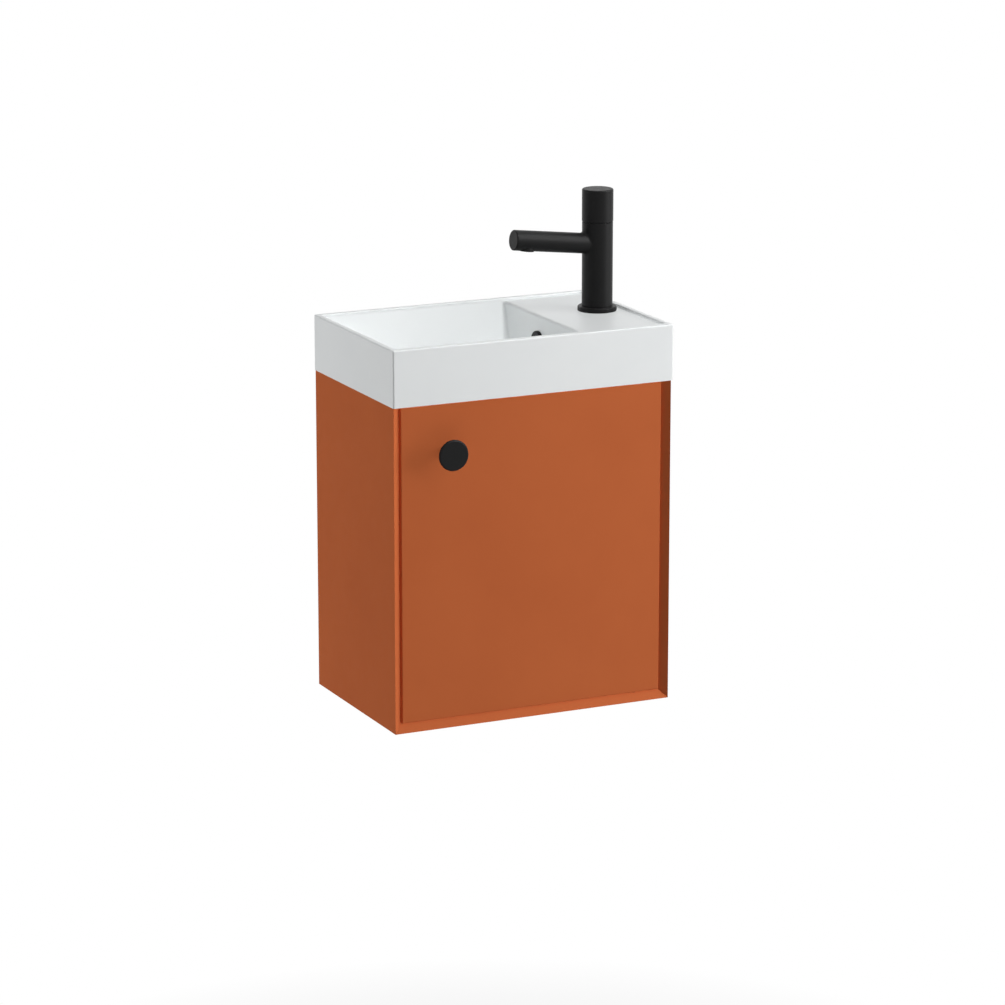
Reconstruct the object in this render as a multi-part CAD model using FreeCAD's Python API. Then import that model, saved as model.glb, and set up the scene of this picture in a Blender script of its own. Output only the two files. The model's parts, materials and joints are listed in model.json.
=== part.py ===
import FreeCAD, Part
import math
import os

os.makedirs("parts", exist_ok=True)
V = FreeCAD.Vector
UP = V(0, 0, 1)
DOWN = V(0, 0, -1)
LEFT = V(-1, 0, 0)
RIGHT = V(1, 0, 0)
BACK = V(0, 1, 0)
FRONT = V(0, -1, 0)

# Frame: X to the right, Y into the wall, Z up, millimetres.
# The wall plane is Y = 0 and the origin is the middle of the wall-fixing hole pattern.

# Clearances
fit_gap = 0.15
running_gap = 0.05
closing_gap = 0.15
hole_end_gap = 0.5

# The most of a wall that a fillet takes
fillet_share = 0.45

# Cabinet
cabinet_height = 434.0
cabinet_setback = 3.0
panel_thickness = 11.0
bevel_depth = 10.0
rail_thickness = 16.0
rail_height = 70.0
wall_hole_spacing = 280.0
wall_hole_diameter = 6.0
spline_thickness = 3.0
spline_width = 8.0
spline_shift = 1.5
spline_front_inset = 22.0
spline_rear_inset = 15.0
dowel_diameter = 6.0
dowel_in_panel = 7.0
dowel_in_rail = 17.0
dowel_spacing = 36.0

# Shelf
shelf_thickness = 10.0
shelf_drop = 302.0
shelf_front_inset = 56.0
shelf_rear_inset = 3.0
shelf_side_gap = 1.0
shelf_pin_diameter = 5.0
shelf_pin_in_panel = 7.0
shelf_pin_reach = 9.0
shelf_pin_tongue = 3.0
shelf_pin_inset = 40.0

# Door
door_thickness = 16.0
door_gap = 1.1
door_bottom_gap = 1.5
door_top_gap = 2.5
door_recess = 4.6
door_edge_radius = 0.8

# Door hinge
hinge_inset = 34.0
hinge_setback = 8.0
hinge_pin_diameter = 4.0
hinge_pin_engage = 14.0
hinge_pin_seat = 8.0
hinge_pin_head_diameter = 10.0
hinge_pin_head_height = 2.0
hinge_bush_diameter = 9.0
hinge_bush_length = 18.0
hinge_washer_diameter = 8.0
bracket_thickness = 3.0
bracket_lift = 1.0
bracket_leg_height = 40.0
bracket_leg_depth = 40.0
bracket_leg_setback = 9.0
bracket_tongue_margin = 7.0
bracket_screw_spacing = 22.0
bracket_screw_drop = 16.0

# Small wood screws
wood_screw_diameter = 3.5
wood_screw_head = 7.0
wood_screw_head_height = 2.0
wood_screw_in_panel = 7.0

# Magnetic catch
catch_drop = 150.0
catch_width = 14.0
catch_depth = 28.0
catch_height = 48.0
catch_screw_spacing = 30.0
catch_screw_setback = 18.0
magnet_width = 8.0
magnet_depth = 9.0
magnet_height = 30.0
strike_thickness = 1.2
strike_width = 13.0
strike_height = 40.0
strike_screw_in_door = 10.0

# Knob
knob_diameter = 41.0
knob_disc_thickness = 5.0
knob_projection = 30.0
knob_stem_diameter = 13.0
knob_edge_radius = 2.2
knob_inset = 61.3
knob_drop = 61.5
knob_screw_diameter = 4.0
knob_screw_head = 8.0
knob_screw_head_height = 2.5
knob_screw_in_knob = 12.0

# Basin outside
basin_width = 400.0
basin_depth = 260.0
basin_height = 75.0
basin_overhang = 1.5
basin_corner_radius = 2.0
basin_edge_radius = 2.0
skirt_wall = 8.0

# Basin inside
rim_width = 8.0
front_rim_width = 10.0
ledge_recess = 4.0
ledge_width = 118.0
ledge_thickness = 9.0
ledge_edge_radius = 4.0
ledge_edge_steps = 3
bowl_depth = 90.0
bowl_wall = 7.0
bowl_floor_thickness = 10.0
bowl_slope_left = 26.0
bowl_slope_back = 21.0
bowl_slope_front = 34.0
bowl_corner_radius = 4.0
bowl_low_corner_radius = 11.0
bowl_floor_radius = 9.0

# Overflow
overflow_drop = 41.0
overflow_hole_diameter = 20.0
overflow_ring_diameter = 32.0
overflow_ring_thickness = 4.5
overflow_ring_bore = 16.0
overflow_ring_spigot = 5.0
duct_width = 22.0
duct_height = 12.0
duct_wall = 4.0
duct_head_room = 2.0

# Waste
waste_hole_diameter = 46.0
waste_boss_diameter = 66.0
waste_tube_diameter = 44.0
waste_tube_wall = 3.0
waste_flange_diameter = 64.0
waste_flange_thickness = 3.0
waste_gasket_thickness = 1.5
waste_gasket_inset = 1.0
waste_lower_gasket_thickness = 4.0
waste_nut_diameter = 60.0
waste_nut_height = 10.0
waste_thread_tail = 8.0
waste_cone_height = 8.0
waste_tail_diameter = 32.0
waste_tail_wall = 2.0
waste_bar_width = 12.0
waste_bar_height = 5.0
waste_bar_drop = 40.0
waste_slot_diameter = 9.0
plug_diameter = 58.0
plug_thickness = 6.0
plug_edge_radius = 2.0
plug_stem_diameter = 8.0
plug_seal_diameter = 52.0
plug_seal_bore = 44.0
plug_seal_thickness = 2.0
cartridge_diameter = 14.0
cartridge_bore_depth = 20.0
cartridge_floor = 6.0

# Trap
trap_drop = 45.0
trap_head_diameter = 60.0
trap_wall = 4.0
trap_socket_diameter = 41.0
trap_socket_length = 12.0
trap_seal_height = 4.0
trap_nut_diameter = 50.0
trap_nut_wall = 3.0
trap_cup_diameter = 66.0
trap_cup_overlap = 14.0
trap_cup_depth = 62.0
trap_cup_seal_height = 2.0
trap_outlet_margin = 2.0
trap_dip = 40.0
rosette_diameter = 72.0
rosette_nose_diameter = 50.0
rosette_thickness = 9.0

# Tap
tap_from_right = 39.6
tap_from_wall = 115.0
tap_hole_diameter = 35.0
tap_flange_diameter = 52.4
tap_flange_thickness = 6.0
tap_flange_chamfer = 1.0
tap_seal_outer = 46.0
tap_seal_width = 3.0
tap_seal_height = 1.2
tap_body_diameter = 41.2
tap_body_top = 119.4
tap_seam_chamfer = 0.6
tap_chamber_diameter = 34.0
tap_chamber_depth = 19.0
tap_handle_diameter = 41.8
tap_handle_height = 43.7
tap_handle_gap = 0.6
tap_handle_wall = 2.6
tap_handle_roof = 5.0
tap_handle_edge_radius = 2.0
tap_handle_boss_diameter = 20.0
tap_handle_boss_gap = 3.0
spindle_diameter = 10.0
spindle_seat = 12.0
spindle_reach = 14.0
cartridge_body_height = 12.0
cartridge_neck_diameter = 23.6
cartridge_neck_height = 15.0
cartridge_nut_height = 8.0
grub_screw_diameter = 4.7
grub_screw_drop = 4.0
spout_diameter = 27.4
spout_bore = 19.0
spout_height = 89.3
spout_reach = 123.7
spout_rise_angle = 6.7
spout_end_wall = 4.0
spout_edge_radius = 1.5
spout_blend_radius = 4.0
aerator_reach = 103.8
aerator_diameter = 22.0
aerator_wall = 1.8
aerator_recess = 0.3
aerator_inside = 5.0
aerator_insert_thickness = 4.0
aerator_insert_recess = 1.0
aerator_hole_diameter = 2.4
aerator_hole_ring = 5.6
aerator_hole_count = 6
shank_diameter = 31.0
shank_in_body = 10.0
shank_below_ledge = 36.0
inlet_diameter = 10.0
inlet_depth = 12.0
inlet_spacing = 15.0
clamp_diameter = 50.0
clamp_seal_thickness = 3.0
clamp_plate_thickness = 2.0
tap_nut_across_corners = 48.0
tap_nut_height = 9.0

# Places of the cabinet, worked out from the sizes above
cabinet_width = basin_width - 2 * basin_overhang
half_cabinet = cabinet_width / 2
inner_side = half_cabinet - panel_thickness
wall_hole_rise = cabinet_height - panel_thickness - rail_height
cabinet_top = wall_hole_rise / 2 + rail_height / 2
cabinet_bottom = cabinet_top - cabinet_height
cabinet_front = -(basin_depth - cabinet_setback)
cabinet_floor = cabinet_bottom + panel_thickness
door_front = cabinet_front + door_recess
door_back = door_front + door_thickness
door_side = inner_side - door_gap
door_bottom = cabinet_floor + door_bottom_gap
door_top = cabinet_top - door_top_gap
hinge_x = door_side - hinge_inset
hinge_y = door_front + hinge_setback
knob_x = -door_side + knob_inset
knob_z = door_top - knob_drop
shelf_under = cabinet_top - shelf_drop

# Places of the basin, worked out from the sizes above
half_basin = basin_width / 2
basin_top = cabinet_top + basin_height
ledge_top = basin_top - ledge_recess
ledge_under = ledge_top - ledge_thickness
pocket_left = -half_basin + rim_width
pocket_right = half_basin - rim_width
pocket_front = -basin_depth + front_rim_width
pocket_back = -rim_width
ledge_left = pocket_right - ledge_width
bowl_floor = basin_top - bowl_depth
bowl_under = bowl_floor - bowl_floor_thickness
duct_floor = bowl_under - duct_height
boss_under = duct_floor - duct_wall
axis_y = -tap_from_wall
tap_x = half_basin - tap_from_right
drain_x = (pocket_left + bowl_slope_left + ledge_left) / 2
overflow_z = basin_top - overflow_drop
flange_top = bowl_floor + waste_gasket_thickness + waste_flange_thickness
waste_nut_under = boss_under - waste_lower_gasket_thickness - waste_nut_height
waste_tube_end = waste_nut_under - waste_thread_tail
waste_bar_top = flange_top - waste_bar_drop
trap_head_top = waste_tube_end - waste_cone_height - trap_drop
trap_head_height = trap_cup_overlap + trap_nut_diameter + 2 * trap_outlet_margin
trap_head_under = trap_head_top - trap_head_height
outlet_z = trap_head_under + trap_cup_overlap + trap_outlet_margin + trap_nut_diameter / 2
tail_end = trap_head_under - trap_dip

# Places of the tap, worked out from the sizes above
tap_foot = ledge_top + tap_flange_thickness
tap_top = ledge_top + tap_body_top
chamber_floor = tap_top - tap_chamber_depth
handle_bottom = tap_top + tap_handle_gap
handle_top = handle_bottom + tap_handle_height
spout_direction = V(-math.cos(math.radians(spout_rise_angle)), 0, math.sin(math.radians(spout_rise_angle)))
spout_downward = V(-spout_direction.z, 0, spout_direction.x)
spout_root = V(tap_x, axis_y, ledge_top + spout_height)
spout_length = spout_reach / math.cos(math.radians(spout_rise_angle))
aerator_along = aerator_reach / math.cos(math.radians(spout_rise_angle))
aerator_centre = spout_root + spout_direction * aerator_along


# Basic shapes
def box(x0, x1, y0, y1, z0, z1):
    return Part.makeBox(x1 - x0, y1 - y0, z1 - z0, V(x0, y0, z0))


def rod(start, direction, diameter, length):
    return Part.makeCylinder(diameter / 2, length, start, direction)


def tube(start, direction, diameter, bore, length):
    return rod(start, direction, diameter, length).cut(rod(start, direction, bore, length))


def cone(start, direction, start_diameter, end_diameter, length):
    return Part.makeCone(start_diameter / 2, end_diameter / 2, length, start, direction)


def hexagon(start, diameter, height):
    corners = [
        V(start.x + diameter / 2 * math.cos(math.radians(60 * k)),
          start.y + diameter / 2 * math.sin(math.radians(60 * k)), start.z)
        for k in range(7)
    ]
    return Part.Face(Part.makePolygon(corners)).extrude(V(0, 0, height))


def prism(points, direction):
    return Part.Face(Part.makePolygon(points + [points[0]])).extrude(direction)


def rounded_rectangle(x0, x1, y0, y1, z, radius):
    turn = radius * (1 - math.sqrt(0.5))
    lines = [
        Part.makeLine(V(x0 + radius, y0, z), V(x1 - radius, y0, z)),
        Part.Arc(V(x1 - radius, y0, z), V(x1 - turn, y0 + turn, z), V(x1, y0 + radius, z)).toShape(),
        Part.makeLine(V(x1, y0 + radius, z), V(x1, y1 - radius, z)),
        Part.Arc(V(x1, y1 - radius, z), V(x1 - turn, y1 - turn, z), V(x1 - radius, y1, z)).toShape(),
        Part.makeLine(V(x1 - radius, y1, z), V(x0 + radius, y1, z)),
        Part.Arc(V(x0 + radius, y1, z), V(x0 + turn, y1 - turn, z), V(x0, y1 - radius, z)).toShape(),
        Part.makeLine(V(x0, y1 - radius, z), V(x0, y0 + radius, z)),
        Part.Arc(V(x0, y0 + radius, z), V(x0 + turn, y0 + turn, z), V(x0 + radius, y0, z)).toShape(),
    ]
    return Part.Wire(lines)


def rounded_block(x0, x1, y0, y1, z0, z1, radius):
    return Part.Face(rounded_rectangle(x0, x1, y0, y1, z0, radius)).extrude(V(0, 0, z1 - z0))


def level_edges(shape, z):
    return [e for e in shape.Edges if all(abs(v.Z - z) < 1e-4 for v in e.Vertexes)]


def round_level(shape, z, radius):
    return shape.makeFillet(radius, level_edges(shape, z))


def joined(first, *others):
    return first.fuse(list(others)).removeSplitter()


# A countersunk screw that points along a direction, with its head flush at the start
def wood_screw(start, direction, length):
    head = cone(start, direction, wood_screw_head, wood_screw_diameter, wood_screw_head_height)
    shank = rod(start + direction * wood_screw_head_height, direction, wood_screw_diameter,
                length - wood_screw_head_height)
    return joined(head, shank)


# The hole that such a screw sits in, a clearance larger all round
def wood_screw_hole(start, direction, length):
    head = cone(start, direction, wood_screw_head + 2 * fit_gap, wood_screw_diameter + 2 * fit_gap,
                wood_screw_head_height)
    shank = rod(start, direction, wood_screw_diameter + 2 * fit_gap, length + hole_end_gap)
    return head.fuse(shank)


# Carcass
def dowel_rows():
    rows = []
    for rail_under in (cabinet_top - rail_height, cabinet_floor):
        for side in (-1, 1):
            for step in (-1, 1):
                z = rail_under + rail_height / 2 + step * dowel_spacing / 2
                rows.append((side, V(side * inner_side, -rail_thickness / 2, z)))
    return rows


def dowel(side, seat, extra_radius, extra_end):
    start = seat + V(side * (dowel_in_panel + extra_end), 0, 0)
    length = dowel_in_panel + dowel_in_rail + 2 * extra_end
    return rod(start, V(-side, 0, 0), dowel_diameter + 2 * extra_radius, length)


def spline(side, margin):
    along = V(-side, 0, -1).multiply(math.sqrt(0.5))
    across = V(-side, 0, 1).multiply(math.sqrt(0.5))
    middle = V(side * (inner_side + panel_thickness / 2), cabinet_front + spline_front_inset - margin,
               cabinet_bottom + panel_thickness / 2) + across * spline_shift
    half_length = along * (spline_width / 2 + margin)
    half_thickness = across * (spline_thickness / 2 + margin)
    corners = [middle + half_length + half_thickness, middle - half_length + half_thickness,
               middle - half_length - half_thickness, middle + half_length - half_thickness]
    length = -spline_rear_inset - (cabinet_front + spline_front_inset) + 2 * margin
    return prism(corners, V(0, length, 0))


# The space inside the carcass, flaring out to its front edges
def front_bevel():
    inside = [V(-inner_side, cabinet_front + bevel_depth, cabinet_floor),
              V(inner_side, cabinet_front + bevel_depth, cabinet_floor),
              V(inner_side, cabinet_front + bevel_depth, cabinet_top + panel_thickness),
              V(-inner_side, cabinet_front + bevel_depth, cabinet_top + panel_thickness)]
    outside = [V(-half_cabinet, cabinet_front, cabinet_bottom),
               V(half_cabinet, cabinet_front, cabinet_bottom),
               V(half_cabinet, cabinet_front, cabinet_top + panel_thickness),
               V(-half_cabinet, cabinet_front, cabinet_top + panel_thickness)]
    wires = [Part.makePolygon(ring + [ring[0]]) for ring in (inside, outside)]
    return Part.makeLoft(wires, True, True)


def shelf_pin_seats():
    shelf_front = cabinet_front + shelf_front_inset
    depths = (shelf_front + shelf_pin_inset, -shelf_rear_inset - shelf_pin_inset)
    return [(side, V(side * inner_side, y, shelf_under - shelf_pin_tongue / 2))
            for side in (-1, 1) for y in depths]


def bracket_screw_seats():
    front = door_back + bracket_leg_setback
    middle = front + bracket_leg_depth / 2
    return [V(inner_side - bracket_thickness, middle + step * bracket_screw_spacing / 2,
              cabinet_top - bracket_screw_drop) for step in (-1, 1)]


def catch_screw_seats():
    y = door_back + strike_thickness + closing_gap + catch_screw_setback
    return [V(-inner_side + catch_width, y, cabinet_top - catch_drop + step * catch_screw_spacing / 2)
            for step in (-1, 1)]


def side_panel(side):
    outer = side * half_cabinet
    inner = side * inner_side
    outline = [V(outer, cabinet_front, cabinet_bottom), V(outer, cabinet_front, cabinet_top),
               V(inner, cabinet_front, cabinet_top), V(inner, cabinet_front, cabinet_floor)]
    panel = prism(outline, V(0, -cabinet_front, 0))
    panel = panel.cut(front_bevel()).cut(spline(side, fit_gap))
    for row_side, seat in dowel_rows():
        if row_side == side:
            panel = panel.cut(dowel(side, seat, fit_gap, hole_end_gap))
    for pin_side, seat in shelf_pin_seats():
        if pin_side == side:
            bore = shelf_pin_diameter + 2 * fit_gap
            panel = panel.cut(rod(seat, V(side, 0, 0), bore, shelf_pin_in_panel + hole_end_gap))
    return panel


def side_panel_left():
    panel = side_panel(-1)
    for seat in catch_screw_seats():
        panel = panel.cut(wood_screw_hole(seat, LEFT, catch_width + wood_screw_in_panel))
    return panel


def side_panel_right():
    panel = side_panel(1)
    for seat in bracket_screw_seats():
        panel = panel.cut(wood_screw_hole(seat, RIGHT, bracket_thickness + wood_screw_in_panel))
    return panel


def bottom_panel():
    outline = [V(-half_cabinet, cabinet_front, cabinet_bottom),
               V(half_cabinet, cabinet_front, cabinet_bottom),
               V(inner_side, cabinet_front, cabinet_floor),
               V(-inner_side, cabinet_front, cabinet_floor)]
    panel = prism(outline, V(0, -cabinet_front, 0)).cut(front_bevel())
    for side in (-1, 1):
        panel = panel.cut(spline(side, fit_gap))
    pin_bore = hinge_pin_diameter + 2 * running_gap
    return panel.cut(rod(V(hinge_x, hinge_y, cabinet_floor), DOWN, pin_bore, hinge_pin_seat))


def rear_rail(under):
    rail = box(-inner_side, inner_side, -rail_thickness, 0, under, under + rail_height)
    for x in (-wall_hole_spacing / 2, wall_hole_spacing / 2):
        start = V(x, -rail_thickness, under + rail_height / 2)
        rail = rail.cut(rod(start, BACK, wall_hole_diameter, rail_thickness))
    for side, seat in dowel_rows():
        rail = rail.cut(dowel(side, seat, fit_gap, hole_end_gap))
    return rail


def rail_dowels():
    return Part.makeCompound([dowel(side, seat, 0, 0) for side, seat in dowel_rows()])


# Shelf
def shelf():
    return box(-inner_side + shelf_side_gap, inner_side - shelf_side_gap, cabinet_front + shelf_front_inset,
               -shelf_rear_inset, shelf_under, shelf_under + shelf_thickness)


def shelf_pins():
    pins = []
    for side, seat in shelf_pin_seats():
        stem = rod(seat + V(side * shelf_pin_in_panel, 0, 0), V(-side, 0, 0), shelf_pin_diameter,
                   shelf_pin_in_panel + shelf_pin_reach)
        flat = box(-inner_side, inner_side, seat.y - shelf_pin_diameter, seat.y + shelf_pin_diameter,
                   shelf_under, shelf_under + shelf_pin_diameter)
        pins.append(stem.cut(flat))
    return Part.makeCompound(pins)


# Door
def bush_seat(end, direction):
    bore = hinge_bush_diameter + 2 * fit_gap
    return rod(V(hinge_x, hinge_y, end), direction, bore, hinge_bush_length + fit_gap)


def knob_screw_shape(margin):
    head = rod(V(knob_x, door_back + margin, knob_z), FRONT, knob_screw_head + 2 * margin,
               knob_screw_head_height + 2 * margin)
    shank = rod(V(knob_x, door_back, knob_z), FRONT, knob_screw_diameter + 2 * margin,
                door_thickness + knob_screw_in_knob + margin)
    return head.fuse(shank)


def strike_screw_start():
    return V(-door_side + strike_width / 2, door_back + strike_thickness, cabinet_top - catch_drop)


def door_panel():
    panel = box(-door_side, door_side, door_front, door_back, door_bottom, door_top)
    front_edges = [e for e in panel.Edges if all(abs(v.Y - door_front) < 1e-4 for v in e.Vertexes)]
    panel = panel.makeFillet(door_edge_radius, front_edges)
    panel = panel.cut(bush_seat(door_top, DOWN)).cut(bush_seat(door_bottom, UP))
    panel = panel.cut(knob_screw_shape(fit_gap))
    return panel.cut(wood_screw_hole(strike_screw_start(), FRONT, strike_thickness + strike_screw_in_door))


def door_knob():
    face = door_front - knob_projection
    disc = rod(V(knob_x, face, knob_z), BACK, knob_diameter, knob_disc_thickness)
    edges = [e for e in disc.Edges if len(e.Vertexes) == 1]
    disc = disc.makeFillet(min(knob_edge_radius, fillet_share * knob_disc_thickness), edges)
    stem = rod(V(knob_x, face + knob_disc_thickness, knob_z), BACK, knob_stem_diameter,
               knob_projection - knob_disc_thickness)
    return joined(disc, stem).cut(knob_screw_shape(fit_gap))


def knob_screw():
    return knob_screw_shape(0).removeSplitter()


# Hinge
def hinge_bracket_top():
    front = door_back + bracket_leg_setback
    back = front + bracket_leg_depth
    top = cabinet_top + bracket_lift + bracket_thickness
    leg = box(inner_side - bracket_thickness, inner_side, front, back,
              cabinet_top - bracket_leg_height, top)
    tongue = box(hinge_x - bracket_tongue_margin, inner_side, hinge_y - bracket_tongue_margin, back,
                 top - bracket_thickness, top)
    bracket = joined(leg, tongue)
    pin_bore = hinge_pin_diameter + 2 * running_gap
    bracket = bracket.cut(rod(V(hinge_x, hinge_y, top), DOWN, pin_bore, bracket_thickness))
    for seat in bracket_screw_seats():
        bracket = bracket.cut(wood_screw_hole(seat, RIGHT, bracket_thickness + wood_screw_in_panel))
    return bracket


def hinge_bracket_screws():
    length = bracket_thickness + wood_screw_in_panel
    return Part.makeCompound([wood_screw(seat, RIGHT, length) for seat in bracket_screw_seats()])


def hinge_pin_top():
    top = cabinet_top + bracket_lift + bracket_thickness
    head = rod(V(hinge_x, hinge_y, top), UP, hinge_pin_head_diameter, hinge_pin_head_height)
    pin = rod(V(hinge_x, hinge_y, top), DOWN, hinge_pin_diameter, top - door_top + hinge_pin_engage)
    return joined(head, pin)


def hinge_pin_bottom():
    length = hinge_pin_seat + door_bottom_gap + hinge_pin_engage
    return rod(V(hinge_x, hinge_y, cabinet_floor - hinge_pin_seat), UP, hinge_pin_diameter, length)


def hinge_washer_bottom():
    bore = hinge_pin_diameter + 2 * fit_gap
    thickness = door_bottom_gap - closing_gap
    return tube(V(hinge_x, hinge_y, cabinet_floor), UP, hinge_washer_diameter, bore, thickness)


def hinge_bush(end, direction):
    bore = hinge_pin_diameter + 2 * running_gap
    bush = rod(V(hinge_x, hinge_y, end), direction, hinge_bush_diameter, hinge_bush_length)
    return bush.cut(rod(V(hinge_x, hinge_y, end), direction, bore, hinge_pin_engage + hole_end_gap))


# Magnetic catch
def magnet_block(margin):
    x = -inner_side + catch_width / 2
    y = door_back + strike_thickness + closing_gap
    z = cabinet_top - catch_drop
    return box(x - magnet_width / 2 - margin, x + magnet_width / 2 + margin, y, y + magnet_depth + margin,
               z - magnet_height / 2 - margin, z + magnet_height / 2 + margin)


def catch_housing():
    y = door_back + strike_thickness + closing_gap
    z = cabinet_top - catch_drop
    housing = box(-inner_side, -inner_side + catch_width, y, y + catch_depth,
                  z - catch_height / 2, z + catch_height / 2)
    housing = housing.cut(magnet_block(fit_gap))
    for seat in catch_screw_seats():
        housing = housing.cut(wood_screw_hole(seat, LEFT, catch_width + wood_screw_in_panel))
    return housing


def catch_screws():
    length = catch_width + wood_screw_in_panel
    return Part.makeCompound([wood_screw(seat, LEFT, length) for seat in catch_screw_seats()])


def strike_plate():
    z = cabinet_top - catch_drop
    plate = box(-door_side, -door_side + strike_width, door_back, door_back + strike_thickness,
                z - strike_height / 2, z + strike_height / 2)
    return plate.cut(wood_screw_hole(strike_screw_start(), FRONT, strike_thickness + strike_screw_in_door))


def strike_screw():
    return wood_screw(strike_screw_start(), FRONT, strike_thickness + strike_screw_in_door)


# Basin
def bowl_section(z, margin, flare):
    share = (ledge_top - z) / (ledge_top - bowl_floor)
    radius = bowl_corner_radius + (bowl_low_corner_radius - bowl_corner_radius) * share + margin
    return rounded_rectangle(pocket_left + bowl_slope_left * share - margin, ledge_left + flare + margin,
                             pocket_front + bowl_slope_front * share - margin,
                             pocket_back - bowl_slope_back * share + margin, z, radius)


def bowl_cavity():
    sections = []
    for step in range(ledge_edge_steps):
        turn = math.radians(90 * step / ledge_edge_steps)
        sections.append(bowl_section(ledge_top - ledge_edge_radius * (1 - math.cos(turn)), 0,
                                     ledge_edge_radius * (1 - math.sin(turn))))
    sections.append(bowl_section(ledge_top - ledge_edge_radius, 0, 0))
    sections.append(bowl_section(bowl_floor, 0, 0))
    cavity = Part.makeLoft(sections, True, True)
    return round_level(cavity, bowl_floor, bowl_floor_radius)


def bowl_outside():
    sections = [bowl_section(z, bowl_wall, 0) for z in (ledge_top - ledge_edge_radius, bowl_under)]
    return round_level(Part.makeLoft(sections, True, True), bowl_under, bowl_floor_radius)


# The overflow duct runs down behind the bowl's right wall and under its floor to the waste
def duct(margin):
    duct_left = ledge_left + bowl_wall
    half = duct_width / 2 + margin
    down = box(duct_left - margin, duct_left + duct_height + margin, axis_y - half, axis_y + half,
               duct_floor - margin, overflow_z + overflow_hole_diameter / 2 + duct_head_room + margin)
    along = box(drain_x, duct_left + duct_height + margin, axis_y - half, axis_y + half,
                duct_floor - margin, bowl_under + margin)
    return down.fuse(along)


def basin():
    body = rounded_block(-half_basin, half_basin, -basin_depth, 0, cabinet_top, basin_top,
                         basin_corner_radius)
    pocket = rounded_block(pocket_left, pocket_right, pocket_front, pocket_back, ledge_top, basin_top + 1,
                           bowl_corner_radius)
    body = round_level(body.cut(pocket), basin_top, min(basin_edge_radius, fillet_share * rim_width))
    hollow = box(-half_basin + skirt_wall, half_basin - skirt_wall, -basin_depth + skirt_wall, -skirt_wall,
                 cabinet_top - 1, ledge_under)
    body = body.cut(hollow)
    boss = rod(V(drain_x, axis_y, boss_under), UP, waste_boss_diameter, bowl_floor - boss_under)
    outline = box(-half_basin, half_basin, -basin_depth, 0, boss_under, basin_top)
    body = body.fuse([bowl_outside().common(outline), duct(duct_wall), boss])
    body = body.cut(bowl_cavity()).cut(duct(0))
    body = body.cut(rod(V(drain_x, axis_y, boss_under), UP, waste_hole_diameter, bowl_floor - boss_under))
    body = body.cut(rod(V(ledge_left, axis_y, overflow_z), RIGHT, overflow_hole_diameter, bowl_wall))
    body = body.cut(rod(V(tap_x, axis_y, ledge_under), UP, tap_hole_diameter, ledge_thickness))
    return body.removeSplitter()


def overflow_ring():
    centre = V(ledge_left, axis_y, overflow_z)
    ring = rod(centre, LEFT, overflow_ring_diameter, overflow_ring_thickness)
    ring = ring.makeFillet(fillet_share * overflow_ring_thickness, ring.Edges[:1])
    spigot = rod(centre, RIGHT, overflow_hole_diameter - 2 * fit_gap, overflow_ring_spigot)
    start = centre + LEFT * overflow_ring_thickness
    length = overflow_ring_thickness + overflow_ring_spigot
    return joined(ring, spigot).cut(rod(start, RIGHT, overflow_ring_bore, length))


# Waste
def drain_point(z):
    return V(drain_x, axis_y, z)


def waste_body():
    tube_bore = waste_tube_diameter - 2 * waste_tube_wall
    tail_bore = waste_tail_diameter - 2 * waste_tail_wall
    cone_end = waste_tube_end - waste_cone_height
    seat = bowl_floor + waste_gasket_thickness
    flange = rod(drain_point(seat), UP, waste_flange_diameter, waste_flange_thickness)
    sleeve = rod(drain_point(waste_tube_end), UP, waste_tube_diameter, seat - waste_tube_end)
    taper = cone(drain_point(waste_tube_end), DOWN, waste_tube_diameter, waste_tail_diameter,
                 waste_cone_height)
    tail = rod(drain_point(tail_end), UP, waste_tail_diameter, cone_end - tail_end)
    body = joined(flange, sleeve, taper, tail)
    body = body.cut(rod(drain_point(waste_tube_end), UP, tube_bore, flange_top - waste_tube_end))
    body = body.cut(cone(drain_point(waste_tube_end), DOWN, tube_bore, tail_bore, waste_cone_height))
    body = body.cut(rod(drain_point(tail_end), UP, tail_bore, cone_end - tail_end))
    for direction in (LEFT, RIGHT):
        slot_start = drain_point(duct_floor + duct_height / 2)
        body = body.cut(rod(slot_start, direction, waste_slot_diameter, waste_tube_diameter))
    bar = box(drain_x - tube_bore / 2 - waste_tube_wall / 2, drain_x + tube_bore / 2 + waste_tube_wall / 2,
              axis_y - waste_bar_width / 2, axis_y + waste_bar_width / 2,
              waste_bar_top - waste_bar_height, waste_bar_top)
    return joined(body, bar)


def waste_gasket_top():
    outer = waste_flange_diameter - 2 * waste_gasket_inset
    return tube(drain_point(bowl_floor), UP, outer, waste_hole_diameter, waste_gasket_thickness)


def waste_gasket_bottom():
    bore = waste_tube_diameter + 2 * fit_gap
    return tube(drain_point(boss_under), DOWN, waste_nut_diameter, bore, waste_lower_gasket_thickness)


def waste_nut():
    nut = hexagon(drain_point(waste_nut_under), waste_nut_diameter, waste_nut_height)
    bore = waste_tube_diameter + 2 * fit_gap
    return nut.cut(rod(drain_point(waste_nut_under), UP, bore, waste_nut_height))


def plug_cartridge():
    top = waste_bar_top + cartridge_floor + cartridge_bore_depth
    body = rod(drain_point(waste_bar_top), UP, cartridge_diameter, top - waste_bar_top)
    bore = plug_stem_diameter + 2 * fit_gap
    return body.cut(rod(drain_point(top), DOWN, bore, cartridge_bore_depth))


def plug_under():
    return flange_top + closing_gap + plug_seal_thickness


def waste_plug():
    cap = rod(drain_point(plug_under()), UP, plug_diameter, plug_thickness)
    edge_radius = min(plug_edge_radius, fillet_share * plug_thickness)
    cap = round_level(cap, plug_under() + plug_thickness, edge_radius)
    stem_end = waste_bar_top + cartridge_floor + hole_end_gap
    stem = rod(drain_point(stem_end), UP, plug_stem_diameter, plug_under() - stem_end)
    return joined(cap, stem)


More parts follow.
